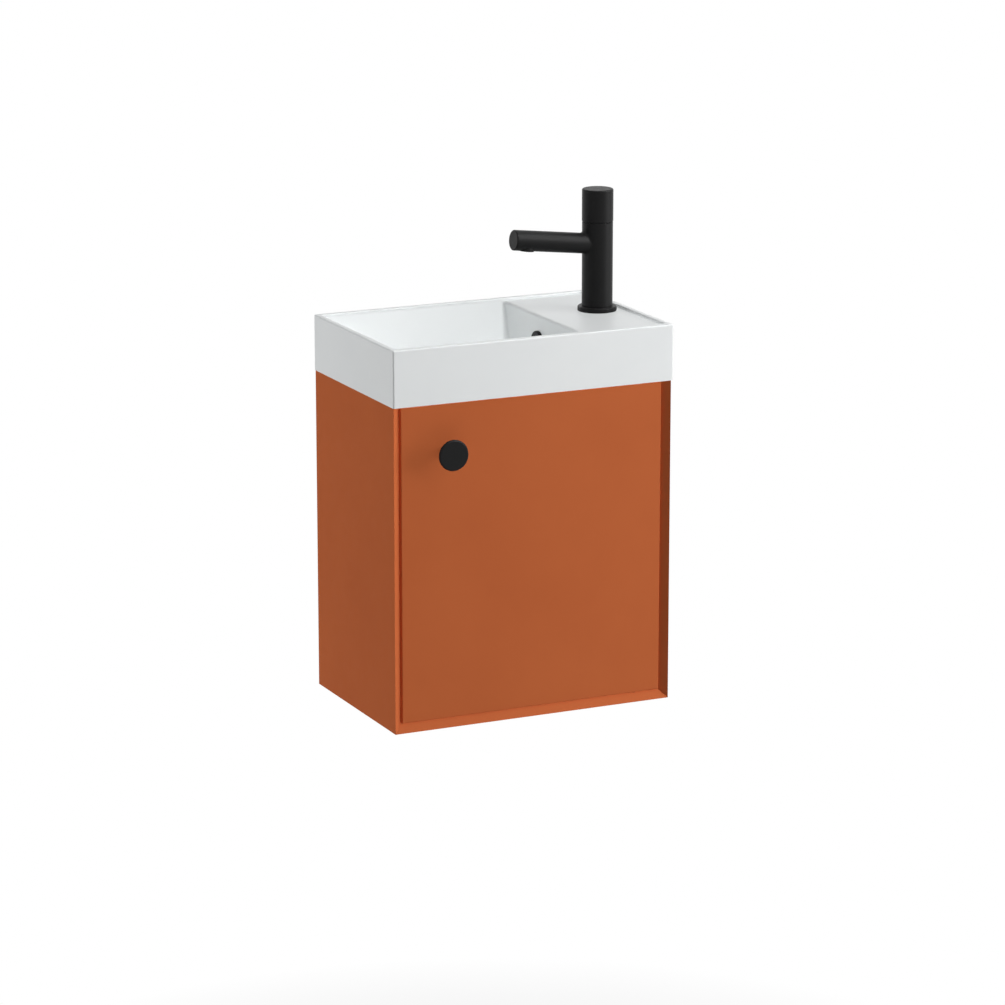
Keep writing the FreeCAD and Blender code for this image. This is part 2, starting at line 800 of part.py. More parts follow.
def plug_seal():
    return tube(drain_point(plug_under()), DOWN, plug_seal_diameter, plug_seal_bore, plug_seal_thickness)


# Trap
def outlet_point(distance):
    return V(drain_x, axis_y + distance, outlet_z)


def pipe_bore():
    return waste_tail_diameter + 2 * fit_gap


def socket_end():
    return trap_head_diameter / 2 + trap_socket_length


def trap_body():
    inside = trap_head_diameter - 2 * trap_wall
    head = rod(drain_point(trap_head_under), UP, trap_head_diameter, trap_head_height)
    inlet = rod(drain_point(trap_head_top), UP, trap_socket_diameter, trap_socket_length)
    outlet = rod(outlet_point(0), BACK, trap_socket_diameter, socket_end())
    body = joined(head, inlet, outlet)
    body = body.cut(rod(drain_point(trap_head_under), UP, inside, trap_head_height - trap_wall))
    body = body.cut(rod(drain_point(trap_head_top), UP, pipe_bore(), trap_socket_length))
    body = body.cut(rod(drain_point(trap_head_top), DOWN, pipe_bore(), trap_wall))
    return body.cut(rod(outlet_point(inside / 4), BACK, pipe_bore(), socket_end()))


def seal_ring(start, direction):
    return tube(start, direction, trap_socket_diameter, pipe_bore(), trap_seal_height)


# A union nut that runs over a socket and its seal, and closes round the pipe
def union_nut(start, direction):
    covered = trap_socket_length - trap_nut_wall + trap_seal_height
    nut = rod(start + direction * trap_nut_wall, direction, trap_nut_diameter, covered + trap_nut_wall)
    room = rod(start, direction, trap_socket_diameter + 2 * fit_gap, trap_nut_wall + covered)
    return nut.cut(room).cut(rod(start, direction, pipe_bore(), trap_nut_diameter))


def trap_inlet_nut():
    return union_nut(drain_point(trap_head_top), UP)


def trap_inlet_seal():
    return seal_ring(drain_point(trap_head_top + trap_socket_length), UP)


def trap_outlet_nut():
    return union_nut(outlet_point(socket_end() - trap_socket_length), BACK)


def trap_outlet_seal():
    return seal_ring(outlet_point(socket_end()), BACK)


def trap_outlet_pipe():
    start = trap_head_diameter / 2
    bore = waste_tail_diameter - 2 * waste_tail_wall
    return tube(outlet_point(start), BACK, waste_tail_diameter, bore, tap_from_wall - start)


def trap_cup():
    rim = trap_head_under + trap_cup_overlap
    shoulder = trap_head_under - trap_cup_seal_height
    bottom = shoulder - trap_cup_depth
    outer = rod(drain_point(bottom), UP, trap_cup_diameter, rim - bottom)
    outer = round_level(outer, bottom, trap_wall)
    collar = rod(drain_point(shoulder), UP, trap_head_diameter + 2 * fit_gap, rim - shoulder)
    room = rod(drain_point(bottom + trap_wall), UP, trap_head_diameter - 2 * trap_wall, rim - bottom)
    return outer.cut(collar).cut(room)


def trap_cup_seal():
    return tube(drain_point(trap_head_under), DOWN, trap_head_diameter, trap_head_diameter - 2 * trap_wall,
                trap_cup_seal_height)


def wall_rosette():
    start = V(drain_x, -rosette_thickness, outlet_z)
    disc = cone(start, BACK, rosette_nose_diameter, rosette_diameter, rosette_thickness)
    return disc.cut(rod(start, BACK, pipe_bore(), rosette_thickness))


# Tap
def tap_point(z):
    return V(tap_x, axis_y, z)


def tap_base_flange():
    flange = rod(tap_point(ledge_top), UP, tap_flange_diameter, tap_flange_thickness)
    flange = flange.makeChamfer(tap_flange_chamfer, level_edges(flange, tap_foot))
    flange = flange.cut(rod(tap_point(ledge_top), UP, shank_diameter + 2 * fit_gap, tap_flange_thickness))
    groove_outer = tap_seal_outer + 2 * fit_gap
    groove_inner = tap_seal_outer - 2 * tap_seal_width - 2 * fit_gap
    return flange.cut(tube(tap_point(ledge_top), UP, groove_outer, groove_inner, tap_seal_height))


def tap_base_seal():
    bore = tap_seal_outer - 2 * tap_seal_width
    return tube(tap_point(ledge_top), UP, tap_seal_outer, bore, tap_seal_height)


# The edges where the spout meets the column
def spout_root_edges(body):
    edges = []
    for edge in body.Edges:
        middle = edge.valueAt((edge.FirstParameter + edge.LastParameter) / 2) - spout_root
        on_spout = abs(middle.cross(spout_direction).Length - spout_diameter / 2) < 1e-3
        on_column = abs(math.hypot(middle.x, middle.y) - tap_body_diameter / 2) < 1e-3
        if on_spout and on_column:
            edges.append(edge)
    return edges


def tap_body():
    column = rod(tap_point(tap_foot), UP, tap_body_diameter, tap_top - tap_foot)
    spout = rod(spout_root, spout_direction, spout_diameter, spout_length)
    end = spout_root + spout_direction * spout_length
    rim = [e for e in spout.Edges if e.Closed and (e.CenterOfMass - end).Length < 1e-3]
    spout = spout.makeFillet(spout_edge_radius, rim)
    body = joined(column, spout)
    body = body.makeFillet(spout_blend_radius, spout_root_edges(body))
    body = body.makeChamfer(tap_seam_chamfer, level_edges(body, tap_top))
    body = body.cut(rod(tap_point(chamber_floor), UP, tap_chamber_diameter, tap_chamber_depth))
    body = body.cut(rod(tap_point(tap_foot), UP, shank_diameter + 2 * fit_gap, shank_in_body))
    body = body.cut(rod(spout_root, spout_direction, spout_bore, spout_length - spout_end_wall))
    waterway_bottom = tap_foot + shank_in_body
    body = body.cut(rod(tap_point(waterway_bottom), UP, spout_bore, spout_root.z - waterway_bottom))
    return body.cut(rod(aerator_centre, spout_downward, aerator_diameter + 2 * fit_gap, spout_diameter))


def aerator_end():
    return spout_diameter / 2 - aerator_recess


def aerator_housing():
    start = aerator_centre + spout_downward * aerator_inside
    return tube(start, spout_downward, aerator_diameter, aerator_diameter - 2 * aerator_wall,
                aerator_end() - aerator_inside)


def aerator_insert():
    depth = aerator_end() - aerator_insert_recess - aerator_insert_thickness
    start = aerator_centre + spout_downward * depth
    bore = aerator_diameter - 2 * aerator_wall
    disc = rod(start, spout_downward, bore - 2 * fit_gap, aerator_insert_thickness)
    holes = [rod(start, spout_downward, aerator_hole_diameter, aerator_insert_thickness)]
    for k in range(aerator_hole_count):
        turn = 2 * math.pi * k / aerator_hole_count
        offset = spout_direction * math.cos(turn) + BACK * math.sin(turn)
        place = start + offset * aerator_hole_ring
        holes.append(rod(place, spout_downward, aerator_hole_diameter, aerator_insert_thickness))
    for hole in holes:
        disc = disc.cut(hole)
    return disc


def tap_cartridge():
    body = rod(tap_point(chamber_floor), UP, tap_chamber_diameter - 2 * fit_gap, cartridge_body_height)
    neck = rod(tap_point(neck_top()), DOWN, cartridge_neck_diameter, cartridge_neck_height)
    bore = spindle_diameter + 2 * running_gap
    return joined(body, neck).cut(rod(tap_point(neck_top()), DOWN, bore, spindle_seat))


def cartridge_nut():
    start = tap_point(chamber_floor + cartridge_body_height)
    return tube(start, UP, tap_chamber_diameter - 2 * fit_gap, cartridge_neck_diameter + 2 * fit_gap,
                cartridge_nut_height)


def neck_top():
    return chamber_floor + cartridge_body_height + cartridge_neck_height


def spindle_bottom():
    return neck_top() - spindle_seat + hole_end_gap


def spindle_top():
    return neck_top() + spindle_reach


def cartridge_spindle():
    return rod(tap_point(spindle_bottom()), UP, spindle_diameter, spindle_top() - spindle_bottom())


def grub_height():
    return spindle_top() - grub_screw_drop


def tap_handle():
    roof = handle_top - tap_handle_roof
    shell = rod(tap_point(handle_bottom), UP, tap_handle_diameter, tap_handle_height)
    shell = round_level(shell, handle_top, tap_handle_edge_radius)
    shell = shell.makeChamfer(tap_seam_chamfer, level_edges(shell, handle_bottom))
    inside = tap_handle_diameter - 2 * tap_handle_wall
    shell = shell.cut(rod(tap_point(handle_bottom), UP, inside, roof - handle_bottom))
    boss_end = neck_top() + tap_handle_boss_gap
    boss = rod(tap_point(roof), DOWN, tap_handle_boss_diameter, roof - boss_end)
    handle = joined(shell, boss)
    bore = spindle_diameter + 2 * fit_gap
    handle = handle.cut(rod(tap_point(boss_end), UP, bore, spindle_top() - boss_end))
    access = rod(tap_point(grub_height()), BACK, grub_screw_diameter + 2 * fit_gap, tap_handle_diameter)
    return handle.cut(access)


def handle_grub_screw():
    start = spindle_diameter / 2 + fit_gap
    length = tap_handle_boss_diameter / 2 - start
    return rod(tap_point(grub_height()) + BACK * start, BACK, grub_screw_diameter, length)


def tap_shank():
    top = tap_foot + shank_in_body
    bottom = ledge_under - shank_below_ledge
    shank = rod(tap_point(bottom), UP, shank_diameter, top - bottom)
    for side in (-1, 1):
        inlet = V(tap_x + side * inlet_spacing / 2, axis_y, bottom)
        shank = shank.cut(rod(inlet, UP, inlet_diameter, inlet_depth))
        shank = shank.cut(rod(inlet, UP, inlet_diameter / 2, top - bottom))
    return shank


def clamp_bore():
    return shank_diameter + 2 * fit_gap


def tap_clamp_seal():
    return tube(tap_point(ledge_under), DOWN, clamp_diameter, clamp_bore(), clamp_seal_thickness)


def tap_clamp_plate():
    return tube(tap_point(ledge_under - clamp_seal_thickness), DOWN, clamp_diameter, clamp_bore(),
                clamp_plate_thickness)


def tap_nut():
    start = ledge_under - clamp_seal_thickness - clamp_plate_thickness - tap_nut_height
    nut = hexagon(tap_point(start), tap_nut_across_corners, tap_nut_height)
    return nut.cut(rod(tap_point(start), UP, clamp_bore(), tap_nut_height))


# Each node with its solid
nodes = {
    "side_panel_left": side_panel_left(),
    "side_panel_right": side_panel_right(),
    "bottom_panel": bottom_panel(),
    "mitre_spline_left": spline(-1, 0),
    "mitre_spline_right": spline(1, 0),
    "rear_rail_top": rear_rail(cabinet_top - rail_height),
    "rear_rail_bottom": rear_rail(cabinet_floor),
    "rail_dowels": rail_dowels(),
    "shelf": shelf(),
    "shelf_pins": shelf_pins(),
    "hinge_bracket_top": hinge_bracket_top(),
    "hinge_bracket_screws": hinge_bracket_screws(),
    "hinge_pin_top": hinge_pin_top(),
    "hinge_pin_bottom": hinge_pin_bottom(),
    "hinge_washer_bottom": hinge_washer_bottom(),
    "catch_housing": catch_housing(),
    "catch_magnet": magnet_block(0),
    "catch_screws": catch_screws(),
    "door_panel": door_panel(),
    "door_knob": door_knob(),
    "knob_screw": knob_screw(),
    "hinge_bush_top": hinge_bush(door_top, DOWN),
    "hinge_bush_bottom": hinge_bush(door_bottom, UP),
    "strike_plate": strike_plate(),
    "strike_screw": strike_screw(),
    "basin": basin(),
    "overflow_ring": overflow_ring(),
    "waste_body": waste_body(),
    "waste_gasket_top": waste_gasket_top(),
    "waste_gasket_bottom": waste_gasket_bottom(),
    "waste_nut": waste_nut(),
    "plug_cartridge": plug_cartridge(),
    "waste_plug": waste_plug(),
    "plug_seal": plug_seal(),
    "trap_body": trap_body(),
    "trap_inlet_nut": trap_inlet_nut(),
    "trap_inlet_seal": trap_inlet_seal(),
    "trap_cup": trap_cup(),
    "trap_cup_seal": trap_cup_seal(),
    "trap_outlet_pipe": trap_outlet_pipe(),
    "trap_outlet_nut": trap_outlet_nut(),
    "trap_outlet_seal": trap_outlet_seal(),
    "wall_rosette": wall_rosette(),
    "tap_base_flange": tap_base_flange(),
    "tap_base_seal": tap_base_seal(),
    "tap_body": tap_body(),
    "tap_cartridge": tap_cartridge(),
    "cartridge_nut": cartridge_nut(),
    "cartridge_spindle": cartridge_spindle(),
    "tap_handle": tap_handle(),
    "handle_grub_screw": handle_grub_screw(),
    "aerator_housing": aerator_housing(),
    "aerator_insert": aerator_insert(),
    "tap_shank": tap_shank(),
    "tap_clamp_seal": tap_clamp_seal(),
    "tap_clamp_plate": tap_clamp_plate(),
    "tap_nut": tap_nut(),
}
for name, shape in nodes.items():
    shape.exportStep("parts/" + name + ".step")
    print(name, "valid" if shape.isValid() else "INVALID", len(shape.Solids), round(shape.Volume))
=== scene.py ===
import json
import math

import bmesh
import bpy
from mathutils import Matrix, Vector


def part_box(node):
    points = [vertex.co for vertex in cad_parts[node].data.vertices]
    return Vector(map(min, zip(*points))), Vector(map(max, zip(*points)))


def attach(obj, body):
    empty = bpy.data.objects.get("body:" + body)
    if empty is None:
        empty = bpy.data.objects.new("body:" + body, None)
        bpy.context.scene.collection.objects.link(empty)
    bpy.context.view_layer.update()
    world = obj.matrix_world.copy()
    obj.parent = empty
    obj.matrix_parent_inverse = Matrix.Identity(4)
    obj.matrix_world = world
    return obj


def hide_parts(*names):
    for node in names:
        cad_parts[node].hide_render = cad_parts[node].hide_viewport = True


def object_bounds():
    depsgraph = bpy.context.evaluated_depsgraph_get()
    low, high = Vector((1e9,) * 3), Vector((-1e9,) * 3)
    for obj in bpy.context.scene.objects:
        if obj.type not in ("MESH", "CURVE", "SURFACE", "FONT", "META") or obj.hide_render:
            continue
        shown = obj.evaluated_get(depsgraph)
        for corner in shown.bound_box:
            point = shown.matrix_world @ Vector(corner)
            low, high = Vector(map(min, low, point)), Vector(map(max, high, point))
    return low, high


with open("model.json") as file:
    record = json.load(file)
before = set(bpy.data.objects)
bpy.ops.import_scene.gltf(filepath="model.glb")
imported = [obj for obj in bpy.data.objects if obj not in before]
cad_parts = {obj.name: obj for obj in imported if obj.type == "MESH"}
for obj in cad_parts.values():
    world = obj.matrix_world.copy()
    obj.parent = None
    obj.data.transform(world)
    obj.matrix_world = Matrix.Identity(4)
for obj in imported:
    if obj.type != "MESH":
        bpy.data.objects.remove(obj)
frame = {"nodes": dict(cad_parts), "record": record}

cad_low, cad_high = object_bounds()
nodes = frame["nodes"]
scene = bpy.context.scene
scene.view_settings.view_transform = "Standard"

# Directions
UP = Vector((0, 0, 1))
LEFT = Vector((-1, 0, 0))
RIGHT = Vector((1, 0, 0))
BACK = Vector((0, 1, 0))
FRONT = Vector((0, -1, 0))

# Camera: places in metres in the part's frame, lens and sensor in millimetres
camera_place = Vector((-2.264, -4.981, 1.3805))
camera_aim = Vector((0.0093, -0.1404, 0.0396))
camera_lens = 148.9
sensor_width = 36.0

# Studio, in metres
floor_drop = 0.75
floor_size = 12.0
floor_colour = (0.62, 0.62, 0.62)
floor_roughness = 0.9
floor_glow_share = 0.5
shadow_start = 0.25
shadow_end = 1.0
ambient_strength = 0.03
light_aim = Vector((0, -0.13, 0.05))

# Lamps: degrees to the right of the front, degrees up, metres away, metres wide and high, watts,
# casts shadows, shows in gloss
lamps = {
    "main": (42, 46, 3.9, 3.2, 3.2, 21.6, True, True),
    "main_fill": (46, 43, 4.2, 3.6, 3.6, 162.0, False, True),
    "side": (56, 11, 3.1, 1.6, 1.6, 31.0, True, True),
    "left": (-118, 9, 3.1, 2.4, 2.0, 38.0, True, False),
    "left_fill": (-122, 12, 3.3, 2.4, 2.0, 15.0, False, False),
    "top_back": (180, 46, 3.2, 4.0, 3.0, 3.0, False, True),
}

# Colours, as linear values
terracotta = (0.517, 0.1302, 0.0431)
terracotta_deep = (0.496, 0.1224, 0.0404)
laminate = (0.36, 0.088, 0.026)
laminate_deep = (0.32, 0.076, 0.022)
glaze = (0.822, 0.842, 0.844)
glaze_deep = (0.803, 0.826, 0.83)
bisque = (0.74, 0.72, 0.68)
bisque_deep = (0.66, 0.635, 0.59)
coat = (0.0075, 0.0075, 0.0077)
coat_deep = (0.006, 0.006, 0.0062)
beech = (0.62, 0.42, 0.22)
beech_deep = (0.46, 0.28, 0.13)
zinc = (0.64, 0.65, 0.66)
zinc_deep = (0.52, 0.53, 0.55)
brass = (0.74, 0.52, 0.22)
brass_deep = (0.6, 0.4, 0.14)
# Brass painted near-black: painted shade for where the nut shows in the handle seam
seam_shade_brass = (0.022, 0.018, 0.014)
seam_shade_brass_deep = (0.012, 0.01, 0.008)
magnet = (0.075, 0.075, 0.078)
magnet_deep = (0.03, 0.03, 0.031)
rubber = (0.026, 0.026, 0.027)
rubber_deep = (0.012, 0.012, 0.013)
nylon = (0.74, 0.74, 0.71)
nylon_deep = (0.69, 0.69, 0.66)
brown_nylon = (0.26, 0.07, 0.022)
brown_nylon_deep = (0.23, 0.06, 0.019)
white_plastic = (0.8, 0.81, 0.8)
white_plastic_deep = (0.76, 0.77, 0.76)
grey_plastic = (0.2, 0.205, 0.21)
grey_plastic_deep = (0.165, 0.17, 0.175)

# How much rougher the bare clay is than the glaze, and how far a moulding's roughness varies
bisque_added_roughness = 0.45
moulding_roughness_change = 0.05

# Edges of plain boards and fittings, in metres
board_round = 0.0004
fitting_round = 0.0005
edge_segments = 2
weld_reach = 1e-6
flat_angle = math.radians(0.5)
edge_angle = math.radians(30)
smooth_angle = math.radians(32)

# Steps round each kind of turned piece, and levels in each turn of a thread
screw_steps = 32
thread_steps = 72
rib_steps = 144
rosette_steps = 96
aerator_steps = 64
levels_per_turn = 6

# Wood screws, in metres. A head's profile has shares of its radius, and heights.
screw_head_radius = 0.0035
screw_head_height = 0.002
screw_head_profile = ((0, 0.0002), (0.7, 0.0001), (1, 0.0002), (1, 0.0004))
screw_stem_radius = 0.00175
screw_point_length = 0.0035
screw_tip_radius = 0.0009625
screw_tip_length = 0.00105
screw_pitch = 0.0014
screw_thread_depth = 0.00035
cross_width = 0.0009
cross_reach = 0.00217
cross_depth = 0.0012

# Knob screw and grub screw, in metres
machine_pitch = 0.0007
machine_thread_depth = 0.0003
knob_head_height = 0.0025
knob_head_profile = ((0, 0), (0.6, 0.0001), (0.9, 0.0005), (1, 0.0012))
knob_stem_radius = 0.002
knob_end_length = 0.001
knob_end_radius = 0.0015
knob_cross_width = 0.00108
knob_cross_share = 0.6
grub_point_share = 0.6
grub_point_length = 0.0008
grub_thread_start = 0.0009
grub_end_length = 0.0004
grub_socket_share = 0.58
grub_socket_depth = 0.0022
cutter_overshoot = 0.001

# Nuts and shank, in metres. The inlet's profile has radii and heights.
tap_nut_bore = 0.01565
waste_nut_bore = 0.02215
nut_lip = 0.0008
nut_corner_drop = 0.00108
shank_pitch = 0.0015
shank_thread_depth = 0.0006
shank_thread_start = 0.0015
shank_thread_end = 0.002
inlet_offset = 0.0075
inlet_profile = ((0, -0.001), (0.006, -0.001), (0.005, 0.0008), (0.005, 0.012), (0.0025, 0.0135),
                 (0.0025, 0.03), (0, 0.03))

# Trap nuts, in metres. The shoulder's three rings lie this far inside the grip.
pipe_bore_radius = 0.01615
socket_room_radius = 0.02065
union_wall = 0.003
union_edge = 0.001
union_bore_edge = 0.0005
union_shoulder = (0.0006, 0.0024, 0.0034)
union_rib_start = 0.0009
union_grip_thickness = 0.002
rib_depth = 0.0013
rib_count = 18

# Trap cup, in metres. The foot and the hollow have radii and heights, the round has distances inside the
# cup's side and heights, and the flare has distances outside it and distances under the collar.
cup_collar_step = 0.0014
cup_collar_height = 0.02
cup_socket_depth = 0.016
cup_socket_radius = 0.03015
cup_bore_radius = 0.026
cup_edge = 0.001
cup_grip_thickness = 0.0005
cup_rib_depth = 0.00104
cup_rib_count = 36
cup_foot = ((0, 0.002), (0.012, 0.002), (0.014, 0))
cup_round = ((0.007, 0), (0.0025, 0.0018), (0.0006, 0.0045), (0, 0.008))
cup_flare = ((0, 0.002), (0.0004, 0.0008))
cup_hollow = ((0.026, 0.012), (0.022, 0.0062), (0.018, 0.0042), (0, 0.0042))

# Wall rosette, in metres
rosette_nose_wall = 0.004
rosette_nose_edge = 0.0008
rosette_curve_steps = 10
rosette_curve_power = 2.2
rosette_curve_share = 0.88
rosette_rim_edge = 0.0004
rosette_back_inset = 0.0006

# Aerator, in metres
spout_rise = math.radians(6.7)
aerator_thickness = 0.004
aerator_edge = 0.0003
cell_pitch = 0.0023
cell_wall = 0.0004
cell_depth = 0.003
cell_margin = 0.00184


# Shader helpers
def new_material(name):
    material = bpy.data.materials.new(name)
    material.use_nodes = True
    tree = material.node_tree
    return material, tree, tree.nodes["Principled BSDF"]


def feed(tree, socket, value):
    if isinstance(value, bpy.types.NodeSocket):
        tree.links.new(value, socket)
    else:
        socket.default_value = value


def coordinates(tree, output="Object"):
    return tree.nodes.new("ShaderNodeTexCoord").outputs[output]


def split(tree, vector):
    node = tree.nodes.new("ShaderNodeSeparateXYZ")
    tree.links.new(vector, node.inputs["Vector"])
    return node.outputs


def noise(tree, scale, detail=2.0, stretch=(1, 1, 1)):
    mapping = tree.nodes.new("ShaderNodeMapping")
    mapping.inputs["Scale"].default_value = stretch
    tree.links.new(coordinates(tree), mapping.inputs["Vector"])
    texture = tree.nodes.new("ShaderNodeTexNoise")
    texture.inputs["Scale"].default_value = scale
    texture.inputs["Detail"].default_value = detail
    tree.links.new(mapping.outputs["Vector"], texture.inputs["Vector"])
    return texture.outputs["Fac"]


def specks(tree, scale):
    texture = tree.nodes.new("ShaderNodeTexVoronoi")
    texture.inputs["Scale"].default_value = scale
    tree.links.new(coordinates(tree), texture.inputs["Vector"])
    return texture.outputs["Distance"]


def rings(tree, scale, wobble):
    texture = tree.nodes.new("ShaderNodeTexWave")
    texture.wave_type = "BANDS"
    texture.bands_direction = "Z"
    texture.inputs["Scale"].default_value = scale
    texture.inputs["Distortion"].default_value = wobble
    tree.links.new(coordinates(tree), texture.inputs["Vector"])
    return texture.outputs["Fac"]


def combine(tree, operation, *values, clamp=False):
    node = tree.nodes.new("ShaderNodeMath")
    node.operation = operation
    node.use_clamp = clamp
    for socket, value in zip(node.inputs, values):
        feed(tree, socket, value)
    return node.outputs["Value"]


def spread(tree, factor, low=0.0, high=1.0, start=0.3, end=0.7):
    remap = tree.nodes.new("ShaderNodeMapRange")
    remap.inputs["From Min"].default_value = start
    remap.inputs["From Max"].default_value = end
    remap.inputs["To Min"].default_value = low
    remap.inputs["To Max"].default_value = high
    tree.links.new(factor, remap.inputs["Value"])
    return remap.outputs["Result"]


def blend_colours(tree, factor, low, high):
    mix = tree.nodes.new("ShaderNodeMix")
    mix.data_type = "RGBA"
    for socket, colour in ((mix.inputs["A"], low), (mix.inputs["B"], high)):
        feed(tree, socket, (*colour, 1) if isinstance(colour, tuple) else colour)
    tree.links.new(factor, mix.inputs["Factor"])
    return mix.outputs["Result"]


def colour_by(tree, shader, pattern, low, high):
    tree.links.new(blend_colours(tree, spread(tree, pattern), low, high), shader.inputs["Base Color"])


def roughness_by(tree, shader, pattern, low, high):
    tree.links.new(spread(tree, pattern, low, high), shader.inputs["Roughness"])


def bump(tree, shader, height, strength, distance):
    node = tree.nodes.new("ShaderNodeBump")
    node.inputs["Strength"].default_value = strength
    node.inputs["Distance"].default_value = distance
    tree.links.new(height, node.inputs["Height"])
    tree.links.new(node.outputs["Normal"], shader.inputs["Normal"])


def set_specular(shader, level):
    shader.inputs["Specular IOR Level"].default_value = level


def set_metallic(shader, level):
    shader.inputs["Metallic"].default_value = level


# Materials
def lacquer():
    material, tree, shader = new_material("lacquer_matt")
    colour_by(tree, shader, noise(tree, scale=9.0, detail=3.0), terracotta_deep, terracotta)
    roughness_by(tree, shader, noise(tree, scale=60.0), low=0.52, high=0.6)
    set_specular(shader, 0.015)
    bump(tree, shader, noise(tree, scale=700.0), strength=0.12, distance=0.0001)
    return material


def laminate_board():
    material, tree, shader = new_material("laminate_board")
    grain = noise(tree, scale=90.0, detail=4.0, stretch=(0.12, 1, 1))
    pores = noise(tree, scale=900.0, detail=3.0, stretch=(0.3, 1, 1))
    colour_by(tree, shader, grain, laminate_deep, laminate)
    roughness_by(tree, shader, noise(tree, scale=150.0), low=0.5, high=0.62)
    set_specular(shader, 0.12)
    bump(tree, shader, pores, strength=0.2, distance=0.0001)
    return material


# The glaze, with bare clay on the back and on what faces down
def glazed_ceramic():
    material, tree, shader = new_material("ceramic_glaze")
    facing = split(tree, coordinates(tree, "Normal"))
    place = split(tree, coordinates(tree))
    downward = spread(tree, facing["Z"], low=1.0, high=0.0, start=-0.9, end=-0.6)
    rearward = spread(tree, facing["Y"], start=0.9, end=0.98)
    at_wall = spread(tree, place["Y"], start=-0.003, end=-0.001)
    on_back = combine(tree, "MULTIPLY", rearward, at_wall)
    unglazed = combine(tree, "MAXIMUM", downward, on_back)
    glossy = blend_colours(tree, spread(tree, noise(tree, scale=12.0, detail=3.0)), glaze_deep, glaze)
    clay = blend_colours(tree, spread(tree, noise(tree, scale=220.0, detail=5.0)), bisque_deep, bisque)
    tree.links.new(blend_colours(tree, unglazed, glossy, clay), shader.inputs["Base Color"])
    glaze_roughness = spread(tree, noise(tree, scale=40.0), low=0.4, high=0.46)
    roughness = combine(tree, "MULTIPLY_ADD", unglazed, bisque_added_roughness, glaze_roughness)
    tree.links.new(roughness, shader.inputs["Roughness"])
    set_specular(shader, 0.5)
    bump(tree, shader, noise(tree, scale=45.0), strength=0.05, distance=0.0004)
    return material


def black_coat():
    material, tree, shader = new_material("black_coat")
    colour_by(tree, shader, noise(tree, scale=500.0, detail=4.0), coat_deep, coat)
    roughness_by(tree, shader, noise(tree, scale=120.0), low=0.38, high=0.44)
    set_specular(shader, 0.13)
    bump(tree, shader, noise(tree, scale=2200.0, detail=3.0), strength=0.08, distance=0.00005)
    return material


def beech_wood():
    material, tree, shader = new_material("beech_wood")
    grain = noise(tree, scale=260.0, detail=5.0, stretch=(0.06, 1, 1))
    colour_by(tree, shader, grain, beech_deep, beech)
    roughness_by(tree, shader, noise(tree, scale=300.0), low=0.55, high=0.7)
    bump(tree, shader, spread(tree, grain), strength=0.3, distance=0.0001)
    return material


def zinc_plate():
    material, tree, shader = new_material("zinc_plate")
    brushing = noise(tree, scale=900.0, detail=3.0, stretch=(1, 1, 0.2))
    colour_by(tree, shader, noise(tree, scale=160.0, detail=4.0), zinc_deep, zinc)
    roughness_by(tree, shader, noise(tree, scale=420.0, detail=3.0), low=0.26, high=0.42)
    set_metallic(shader, 1.0)
    bump(tree, shader, brushing, strength=0.15, distance=0.00005)
    return material


def turned_metal(name, colour, deep, smooth, rough):
    material, tree, shader = new_material(name)
    colour_by(tree, shader, noise(tree, scale=130.0, detail=4.0), deep, colour)
    roughness_by(tree, shader, noise(tree, scale=350.0, detail=3.0), smooth, rough)
    set_metallic(shader, 1.0)
    bump(tree, shader, rings(tree, scale=1200.0, wobble=0.6), strength=0.15, distance=0.00003)
    return material


def ferrite():
    material, tree, shader = new_material("ferrite")
    grains = specks(tree, scale=2500.0)
    colour_by(tree, shader, grains, magnet_deep, magnet)
    roughness_by(tree, shader, noise(tree, scale=800.0, detail=3.0), low=0.45, high=0.6)
    set_metallic(shader, 0.6)
    bump(tree, shader, grains, strength=0.2, distance=0.00005)
    return material


def black_rubber():
    material, tree, shader = new_material("black_rubber")
    colour_by(tree, shader, noise(tree, scale=700.0, detail=5.0), rubber_deep, rubber)
    roughness_by(tree, shader, noise(tree, scale=200.0), low=0.68, high=0.82)
    set_specular(shader, 0.3)
    bump(tree, shader, noise(tree, scale=1600.0, detail=3.0), strength=0.25, distance=0.00008)
    return material


def moulding(name, colour, deep, roughness, specular):
    material, tree, shader = new_material(name)
    colour_by(tree, shader, noise(tree, scale=70.0, detail=4.0), deep, colour)
    roughness_by(tree, shader, noise(tree, scale=240.0, detail=3.0),
                 low=roughness - moulding_roughness_change, high=roughness + moulding_roughness_change)
    set_specular(shader, specular)
    bump(tree, shader, noise(tree, scale=900.0), strength=0.06, distance=0.00003)
    return material


finishes = {
    "lacquer": lacquer(),
    "ceramic": glazed_ceramic(),
    "black_metal": black_coat(),
    "inner_board": laminate_board(),
    "beech": beech_wood(),
    "zinc_steel": zinc_plate(),
    "brass": turned_metal("turned_brass", brass, brass_deep, smooth=0.2, rough=0.36),
    "magnet": ferrite(),
    "rubber": black_rubber(),
    "nylon": moulding("plain_nylon", nylon, nylon_deep, roughness=0.45, specular=0.4),
    "brown_nylon": moulding("brown_nylon", brown_nylon, brown_nylon_deep, roughness=0.55, specular=0.2),
    "white_plastic": moulding("white_moulding", white_plastic, white_plastic_deep,
                              roughness=0.28, specular=0.5),
    "grey_plastic": moulding("grey_moulding", grey_plastic, grey_plastic_deep, roughness=0.42, specular=0.4),
}
# The seam under the handle shows a little of this brass nut, so it is painted near-black as painted shade in
# the seam
own_finishes = {
    "cartridge_nut": turned_metal("brass_painted_as_seam_shade", seam_shade_brass, seam_shade_brass_deep, smooth=0.45, rough=0.55),
}
slot_of = {}
for part in frame["record"]["subparts"]:
    name = part["node"]
    slot_of[name] = part["material_slot"]
    nodes[name].data.materials.clear()
    nodes[name].data.materials.append(own_finishes.get(name, finishes[slot_of[name]]))


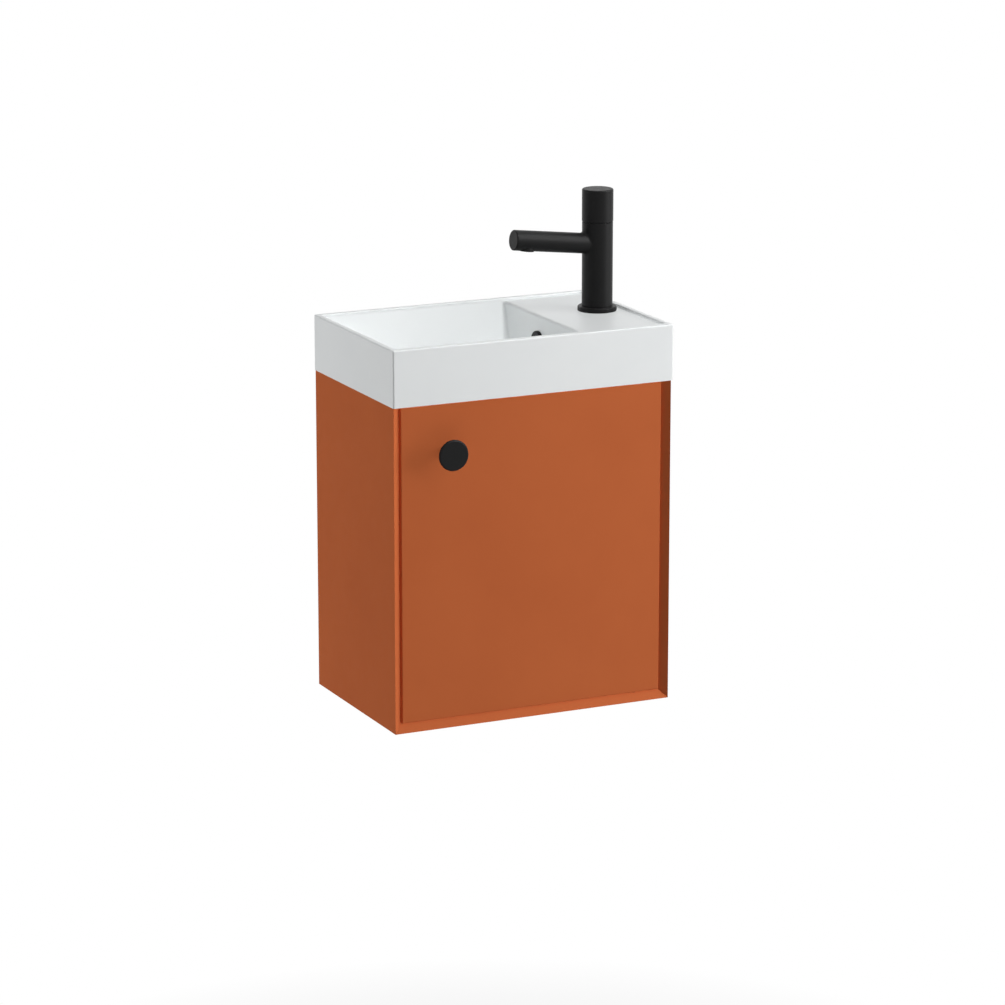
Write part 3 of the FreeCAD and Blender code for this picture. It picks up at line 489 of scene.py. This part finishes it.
# Softened edges on the solids that have plain sharp ones
def soften(name, width):
    node = nodes[name]
    weld = node.modifiers.new("weld", "WELD")
    weld.merge_threshold = weld_reach
    flat = node.modifiers.new("flat", "DECIMATE")
    flat.decimate_type = "DISSOLVE"
    flat.angle_limit = flat_angle
    edge = node.modifiers.new("edge", "BEVEL")
    edge.width = width
    edge.segments = edge_segments
    edge.limit_method = "ANGLE"
    edge.angle_limit = edge_angle
    edge.harden_normals = True
    edge.use_clamp_overlap = True


# Mesh helpers: each shape is made along local Z and placed by a matrix
def along(start, direction):
    turn = UP.rotation_difference(direction).to_matrix().to_4x4()
    return Matrix.Translation(start) @ turn


# A turned shape from radii and heights. radius_at may change a radius by its height and turn.
def lathe(shape, profile, matrix, steps, closed=False, radius_at=None):
    levels = []
    for radius, height in profile:
        if radius == 0:
            levels.append([shape.verts.new(matrix @ Vector((0, 0, height)))])
            continue
        level = []
        for k in range(steps):
            turn = 2 * math.pi * k / steps
            out = radius_at(radius, height, turn) if radius_at else radius
            point = Vector((out * math.cos(turn), out * math.sin(turn), height))
            level.append(shape.verts.new(matrix @ point))
        levels.append(level)
    if closed:
        levels.append(levels[0])
    for low, high in zip(levels, levels[1:]):
        for k in range(steps):
            after = (k + 1) % steps
            corners = [low[k % len(low)], low[after % len(low)], high[after % len(high)], high[k % len(high)]]
            shape.faces.new(list(dict.fromkeys(corners)))


def prism(shape, outline, bottom, top, matrix):
    low = [shape.verts.new(matrix @ Vector((x, y, bottom))) for x, y in outline]
    high = [shape.verts.new(matrix @ Vector((x, y, top))) for x, y in outline]
    shape.faces.new(low[::-1])
    shape.faces.new(high)
    for k in range(len(outline)):
        after = (k + 1) % len(outline)
        shape.faces.new((low[k], low[after], high[after], high[k]))


def hexagon(radius, x=0, y=0):
    turns = [math.pi * (k + 0.5) / 3 for k in range(6)]
    return [(x + radius * math.cos(turn), y + radius * math.sin(turn)) for turn in turns]


def scaled(profile, radius):
    return [(radius * share, height) for share, height in profile]


def finish_mesh(shape, name):
    bmesh.ops.recalc_face_normals(shape, faces=shape.faces)
    mesh = bpy.data.meshes.new(name)
    shape.to_mesh(mesh)
    shape.free()
    return mesh


def carved(shape, cutter, name):
    main = bpy.data.objects.new(name, finish_mesh(shape, name))
    tool = bpy.data.objects.new(name + "_tool", finish_mesh(cutter, name + "_tool"))
    for thing in (main, tool):
        scene.collection.objects.link(thing)
    cut = main.modifiers.new("cut", "BOOLEAN")
    cut.object = tool
    cut.operation = "DIFFERENCE"
    cut.solver = "EXACT"
    bpy.context.view_layer.update()
    mesh = bpy.data.meshes.new_from_object(main.evaluated_get(bpy.context.evaluated_depsgraph_get()))
    for thing in (main, tool):
        bpy.data.objects.remove(thing)
    mesh.name = name
    return mesh


# A detailed piece that stands for a node, in the node's own finish
def add_piece(node, mesh, body):
    mesh.shade_smooth()
    mesh.set_sharp_from_angle(angle=smooth_angle)
    slot = slot_of[node]
    mesh.materials.clear()
    mesh.materials.append(finishes[slot])
    piece = bpy.data.objects.new(node + "_detailed", mesh)
    scene.collection.objects.link(piece)
    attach(piece, body)
    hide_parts(node)


def measure(node):
    low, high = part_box(node)
    return low, high, (low + high) / 2


# A thread's radius: full at the crest, cut to the root between the turns, and run out at both ends
def threaded(pitch, depth, start, end):
    def radius_at(radius, height, turn):
        if not start <= height <= end:
            return radius
        phase = (height / pitch - turn / (2 * math.pi)) % 1
        crest = 1 - abs(2 * phase - 1)
        fade = min(1, (height - start) / pitch, (end - height) / pitch)
        return radius - depth * fade * (1 - crest)
    return radius_at


def thread_profile(radius, start, end, pitch):
    count = max(2, round((end - start) / pitch * levels_per_turn))
    return [(radius, start + (end - start) * k / count) for k in range(count + 1)]


# Screws
def cross_recess(cutter, matrix, width, reach):
    half = width / 2
    arms = [(-reach, -half), (-half, -half), (-half, -reach), (half, -reach), (half, -half), (reach, -half),
            (reach, half), (half, half), (half, reach), (-half, reach), (-half, half), (-reach, half)]
    prism(cutter, arms, -cross_depth, cross_depth, matrix)


# Countersunk screws whose heads lie at the seats and whose points lie along the direction
def wood_screws(node, body, seats, direction, length):
    start = screw_head_height
    end = length - screw_point_length
    profile = scaled(screw_head_profile, screw_head_radius)
    profile += thread_profile(screw_stem_radius, start, end, screw_pitch)
    profile += [(screw_tip_radius, length - screw_tip_length), (0, length)]
    thread = threaded(screw_pitch, screw_thread_depth, start, end)
    shape = bmesh.new()
    cutter = bmesh.new()
    for seat in seats:
        place = along(seat, direction)
        lathe(shape, profile, place, screw_steps, radius_at=thread)
        cross_recess(cutter, place, cross_width, cross_reach)
    add_piece(node, carved(shape, cutter, node), body)


def bracket_screws():
    low, high, centre = measure("hinge_bracket_screws")
    seats = [Vector((low.x, y, centre.z)) for y in (low.y + screw_head_radius, high.y - screw_head_radius)]
    wood_screws("hinge_bracket_screws", "unit", seats, RIGHT, high.x - low.x)


def catch_screws():
    low, high, centre = measure("catch_screws")
    seats = [Vector((high.x, centre.y, z)) for z in (low.z + screw_head_radius, high.z - screw_head_radius)]
    wood_screws("catch_screws", "unit", seats, LEFT, high.x - low.x)


def strike_screw():
    low, high, centre = measure("strike_screw")
    wood_screws("strike_screw", "door", [Vector((centre.x, high.y, centre.z))], FRONT, high.y - low.y)


def knob_screw():
    low, high, centre = measure("knob_screw")
    head = (high.x - low.x) / 2
    length = high.y - low.y
    end = length - knob_end_length
    place = along(Vector((centre.x, high.y, centre.z)), FRONT)
    profile = scaled(knob_head_profile, head) + [(head, knob_head_height)]
    profile += thread_profile(knob_stem_radius, knob_head_height, end, machine_pitch)
    profile += [(knob_end_radius, length), (0, length)]
    shape = bmesh.new()
    cutter = bmesh.new()
    lathe(shape, profile, place, screw_steps,
          radius_at=threaded(machine_pitch, machine_thread_depth, knob_head_height, end))
    cross_recess(cutter, place, knob_cross_width, head * knob_cross_share)
    add_piece("knob_screw", carved(shape, cutter, "knob_screw"), "door")


def grub_screw():
    low, high, centre = measure("handle_grub_screw")
    radius = (high.x - low.x) / 2
    length = high.y - low.y
    end = length - grub_end_length
    place = along(Vector((centre.x, low.y, centre.z)), BACK)
    profile = [(0, 0), (radius * grub_point_share, 0), (radius, grub_point_length)]
    profile += thread_profile(radius, grub_thread_start, end, machine_pitch)
    profile += [(radius - machine_thread_depth, length), (0, length)]
    shape = bmesh.new()
    cutter = bmesh.new()
    lathe(shape, profile, place, screw_steps,
          radius_at=threaded(machine_pitch, machine_thread_depth, grub_thread_start, end))
    prism(cutter, hexagon(radius * grub_socket_share), length - grub_socket_depth,
          length + cutter_overshoot, place)
    add_piece("handle_grub_screw", carved(shape, cutter, "handle_grub_screw"), "handle")


# Nuts and threads under the basin
def hexagonal(flat):
    def radius_at(radius, height, turn):
        across = (turn % (math.pi / 3)) - math.pi / 6
        return min(radius, flat / math.cos(across))
    return radius_at


def hex_nut(node, bore):
    low, high, centre = measure(node)
    corner = (high.x - low.x) / 2
    flat = corner * math.cos(math.pi / 6)
    height = high.z - low.z
    profile = [(bore, nut_lip), (bore + nut_lip, 0), (flat, 0),
               (corner, nut_corner_drop), (corner, height - nut_corner_drop),
               (flat, height), (bore + nut_lip, height), (bore, height - nut_lip)]
    shape = bmesh.new()
    lathe(shape, profile, along(Vector((centre.x, centre.y, low.z)), UP), thread_steps, True, hexagonal(flat))
    add_piece(node, finish_mesh(shape, node), "unit")


def tap_shank():
    low, high, centre = measure("tap_shank")
    radius = (high.x - low.x) / 2
    length = high.z - low.z
    start = shank_thread_start
    end = length - shank_thread_end
    profile = [(0, 0), (radius - start, 0)]
    profile += thread_profile(radius, start, end, shank_pitch)
    profile += [(radius, length), (0, length)]
    shape = bmesh.new()
    cutter = bmesh.new()
    lathe(shape, profile, along(Vector((centre.x, centre.y, low.z)), UP), thread_steps,
          radius_at=threaded(shank_pitch, shank_thread_depth, start, end))
    for side in (-1, 1):
        inlet = along(Vector((centre.x + side * inlet_offset, centre.y, low.z)), UP)
        lathe(cutter, inlet_profile, inlet, screw_steps)
    add_piece("tap_shank", carved(shape, cutter, "tap_shank"), "unit")


# Rounded grip ribs round a moulded nut or collar, on what lies outside the inner radius
def ribbed(count, depth, start, end, inner):
    def radius_at(radius, height, turn):
        if radius <= inner or not start <= height <= end:
            return radius
        wave = 0.5 + 0.5 * math.cos(count * turn)
        return radius - depth * (1 - math.sqrt(wave))
    return radius_at


def union_nut(node, start, direction, length, radius):
    room = length - union_wall
    shoulder_top, shoulder_low, shoulder_end = (radius - inset for inset in union_shoulder)
    profile = [(socket_room_radius, 0), (radius - union_edge, 0), (radius, union_edge),
               (radius, room - union_edge), (shoulder_top, room), (shoulder_low, length - union_edge),
               (shoulder_end, length),
               (pipe_bore_radius + union_bore_edge, length), (pipe_bore_radius, length - union_bore_edge),
               (pipe_bore_radius, room), (socket_room_radius, room)]
    grip = ribbed(rib_count, rib_depth, union_rib_start, room - union_rib_start,
                  radius - union_grip_thickness)
    shape = bmesh.new()
    lathe(shape, profile, along(start, direction), rib_steps, True, grip)
    add_piece(node, finish_mesh(shape, node), "unit")


def trap_nuts():
    low, high, centre = measure("trap_inlet_nut")
    radius = (high.x - low.x) / 2
    union_nut("trap_inlet_nut", Vector((centre.x, centre.y, low.z)), UP, high.z - low.z, radius)
    low, high, centre = measure("trap_outlet_nut")
    union_nut("trap_outlet_nut", Vector((centre.x, low.y, centre.z)), BACK, high.y - low.y, radius)


def trap_cup():
    low, high, centre = measure("trap_cup")
    radius = (high.x - low.x) / 2
    length = high.z - low.z
    body = radius - cup_collar_step
    collar = length - cup_collar_height
    seat = length - cup_socket_depth
    profile = list(cup_foot)
    profile += [(body - inset, height) for inset, height in cup_round]
    profile += [(body + outset, collar - under) for outset, under in cup_flare]
    profile += [(radius, collar), (radius, length - cup_edge), (radius - cup_edge, length)]
    profile += [(cup_socket_radius, length), (cup_socket_radius, seat), (cup_bore_radius, seat)]
    profile += cup_hollow
    grip = ribbed(cup_rib_count, cup_rib_depth, collar, length - cup_edge, radius - cup_grip_thickness)
    shape = bmesh.new()
    lathe(shape, profile, along(Vector((centre.x, centre.y, low.z)), UP), rib_steps, radius_at=grip)
    add_piece("trap_cup", finish_mesh(shape, "trap_cup"), "unit")


# A cover that flares to the wall in a hollow curve
def wall_rosette():
    low, high, centre = measure("wall_rosette")
    rim = (high.x - low.x) / 2
    length = high.y - low.y
    nose = pipe_bore_radius + rosette_nose_wall
    profile = [(pipe_bore_radius, rosette_nose_edge), (pipe_bore_radius + rosette_nose_edge, 0),
               (nose - rosette_nose_edge, 0)]
    for k in range(rosette_curve_steps + 1):
        part_way = k / rosette_curve_steps
        profile.append((nose + (rim - nose) * part_way ** rosette_curve_power,
                        length * part_way * rosette_curve_share))
    profile += [(rim, length - rosette_rim_edge), (rim - rosette_back_inset, length),
                (pipe_bore_radius, length)]
    shape = bmesh.new()
    lathe(shape, profile, along(Vector((centre.x, low.y, centre.z)), BACK), rosette_steps, True)
    add_piece("wall_rosette", finish_mesh(shape, "wall_rosette"), "unit")


# The aerator's honeycomb, in the plane square to the spout's underside
def aerator_insert():
    low, high, centre = measure("aerator_insert")
    radius = (high.y - low.y) / 2
    downward = Vector((-math.sin(spout_rise), 0, -math.cos(spout_rise)))
    place = along(centre - downward * aerator_thickness / 2, downward)
    profile = [(0, 0), (radius - aerator_edge, 0), (radius, aerator_edge),
               (radius, aerator_thickness - aerator_edge), (radius - aerator_edge, aerator_thickness),
               (0, aerator_thickness)]
    shape = bmesh.new()
    cutter = bmesh.new()
    lathe(shape, profile, place, aerator_steps)
    cell_radius = (cell_pitch - cell_wall) / math.sqrt(3)
    row_step = cell_pitch * math.sqrt(3) / 2
    reach = math.ceil(radius / row_step)
    for row in range(-reach, reach + 1):
        for column in range(-reach, reach + 1):
            x = (column + 0.5 * (row % 2)) * cell_pitch
            y = row * row_step
            if math.hypot(x, y) < radius - cell_margin:
                prism(cutter, hexagon(cell_radius, x, y), aerator_thickness - cell_depth,
                      aerator_thickness + aerator_edge, place)
    add_piece("aerator_insert", carved(shape, cutter, "aerator_insert"), "unit")


bracket_screws()
catch_screws()
strike_screw()
knob_screw()
grub_screw()
hex_nut("tap_nut", tap_nut_bore)
hex_nut("waste_nut", waste_nut_bore)
tap_shank()
trap_nuts()
trap_cup()
wall_rosette()
aerator_insert()
for name in ("side_panel_left", "side_panel_right", "bottom_panel", "rear_rail_top", "rear_rail_bottom",
             "shelf"):
    soften(name, board_round)
for name in ("hinge_bracket_top", "strike_plate", "catch_housing", "catch_magnet"):
    soften(name, fitting_round)


# Camera
def place_camera():
    lens = bpy.data.cameras.new("camera")
    lens.lens = camera_lens
    lens.sensor_width = sensor_width
    camera = bpy.data.objects.new("camera", lens)
    scene.collection.objects.link(camera)
    camera.location = camera_place
    camera.rotation_euler = (camera_aim - camera_place).to_track_quat("-Z", "Y").to_euler()
    scene.camera = camera


# 1 where the camera, a reflection or a view through glass meets a surface, and 0 elsewhere
def seen_directly(tree):
    path = tree.nodes.new("ShaderNodeLightPath").outputs
    total = path["Is Camera Ray"]
    for ray in ("Is Glossy Ray", "Is Transmission Ray"):
        total = combine(tree, "ADD", total, path[ray], clamp=True)
    return total


# White where it is seen, and a little soft light elsewhere
def light_world():
    world = bpy.data.worlds.new("studio")
    scene.world = world
    world.use_nodes = True
    tree = world.node_tree
    background = tree.nodes["Background"]
    background.inputs["Color"].default_value = (1, 1, 1, 1)
    strength = spread(tree, seen_directly(tree), low=ambient_strength, start=0.0, end=1.0)
    tree.links.new(strength, background.inputs["Strength"])


def area_light(name, azimuth, elevation, distance, width, height, power, shadows, glossy):
    lamp = bpy.data.lights.new(name, "AREA")
    lamp.shape = "RECTANGLE"
    lamp.size = width
    lamp.size_y = height
    lamp.energy = power
    lamp.use_shadow = shadows
    lamp.cycles.use_multiple_importance_sampling = shadows
    light = bpy.data.objects.new(name, lamp)
    scene.collection.objects.link(light)
    turn = math.radians(azimuth)
    rise = math.radians(elevation)
    out = Vector((math.sin(turn) * math.cos(rise), -math.cos(turn) * math.cos(rise), math.sin(rise)))
    light.location = light_aim + out * distance
    light.rotation_euler = (-out).to_track_quat("-Z", "Y").to_euler()
    light.visible_camera = False
    light.visible_glossy = glossy


# A floor that keeps the object's shadow near it and fades to white further out
def pale_floor():
    mesh = bpy.data.meshes.new("floor")
    half = floor_size / 2
    z = cad_low.z - floor_drop
    corners = [(-half, -half, z), (half, -half, z), (half, half, z), (-half, half, z)]
    mesh.from_pydata(corners, [], [(0, 1, 2, 3)])
    floor = bpy.data.objects.new("floor", mesh)
    scene.collection.objects.link(floor)
    material, tree, shader = new_material("floor_pale")
    shader.inputs["Base Color"].default_value = (*floor_colour, 1)
    shader.inputs["Roughness"].default_value = floor_roughness
    glow = tree.nodes.new("ShaderNodeEmission")
    mix = tree.nodes.new("ShaderNodeMixShader")
    away = tree.nodes.new("ShaderNodeVectorMath")
    away.operation = "DISTANCE"
    away.inputs[1].default_value = (light_aim.x, light_aim.y, z)
    tree.links.new(coordinates(tree), away.inputs[0])
    fade = spread(tree, away.outputs["Value"], low=floor_glow_share, start=shadow_start, end=shadow_end)
    tree.links.new(combine(tree, "MULTIPLY", seen_directly(tree), fade), mix.inputs["Fac"])
    tree.links.new(shader.outputs["BSDF"], mix.inputs[1])
    tree.links.new(glow.outputs["Emission"], mix.inputs[2])
    tree.links.new(mix.outputs["Shader"], tree.nodes["Material Output"].inputs["Surface"])
    mesh.materials.append(material)


place_camera()
light_world()
pale_floor()
for lamp_name, lamp_values in lamps.items():
    area_light(lamp_name, *lamp_values)
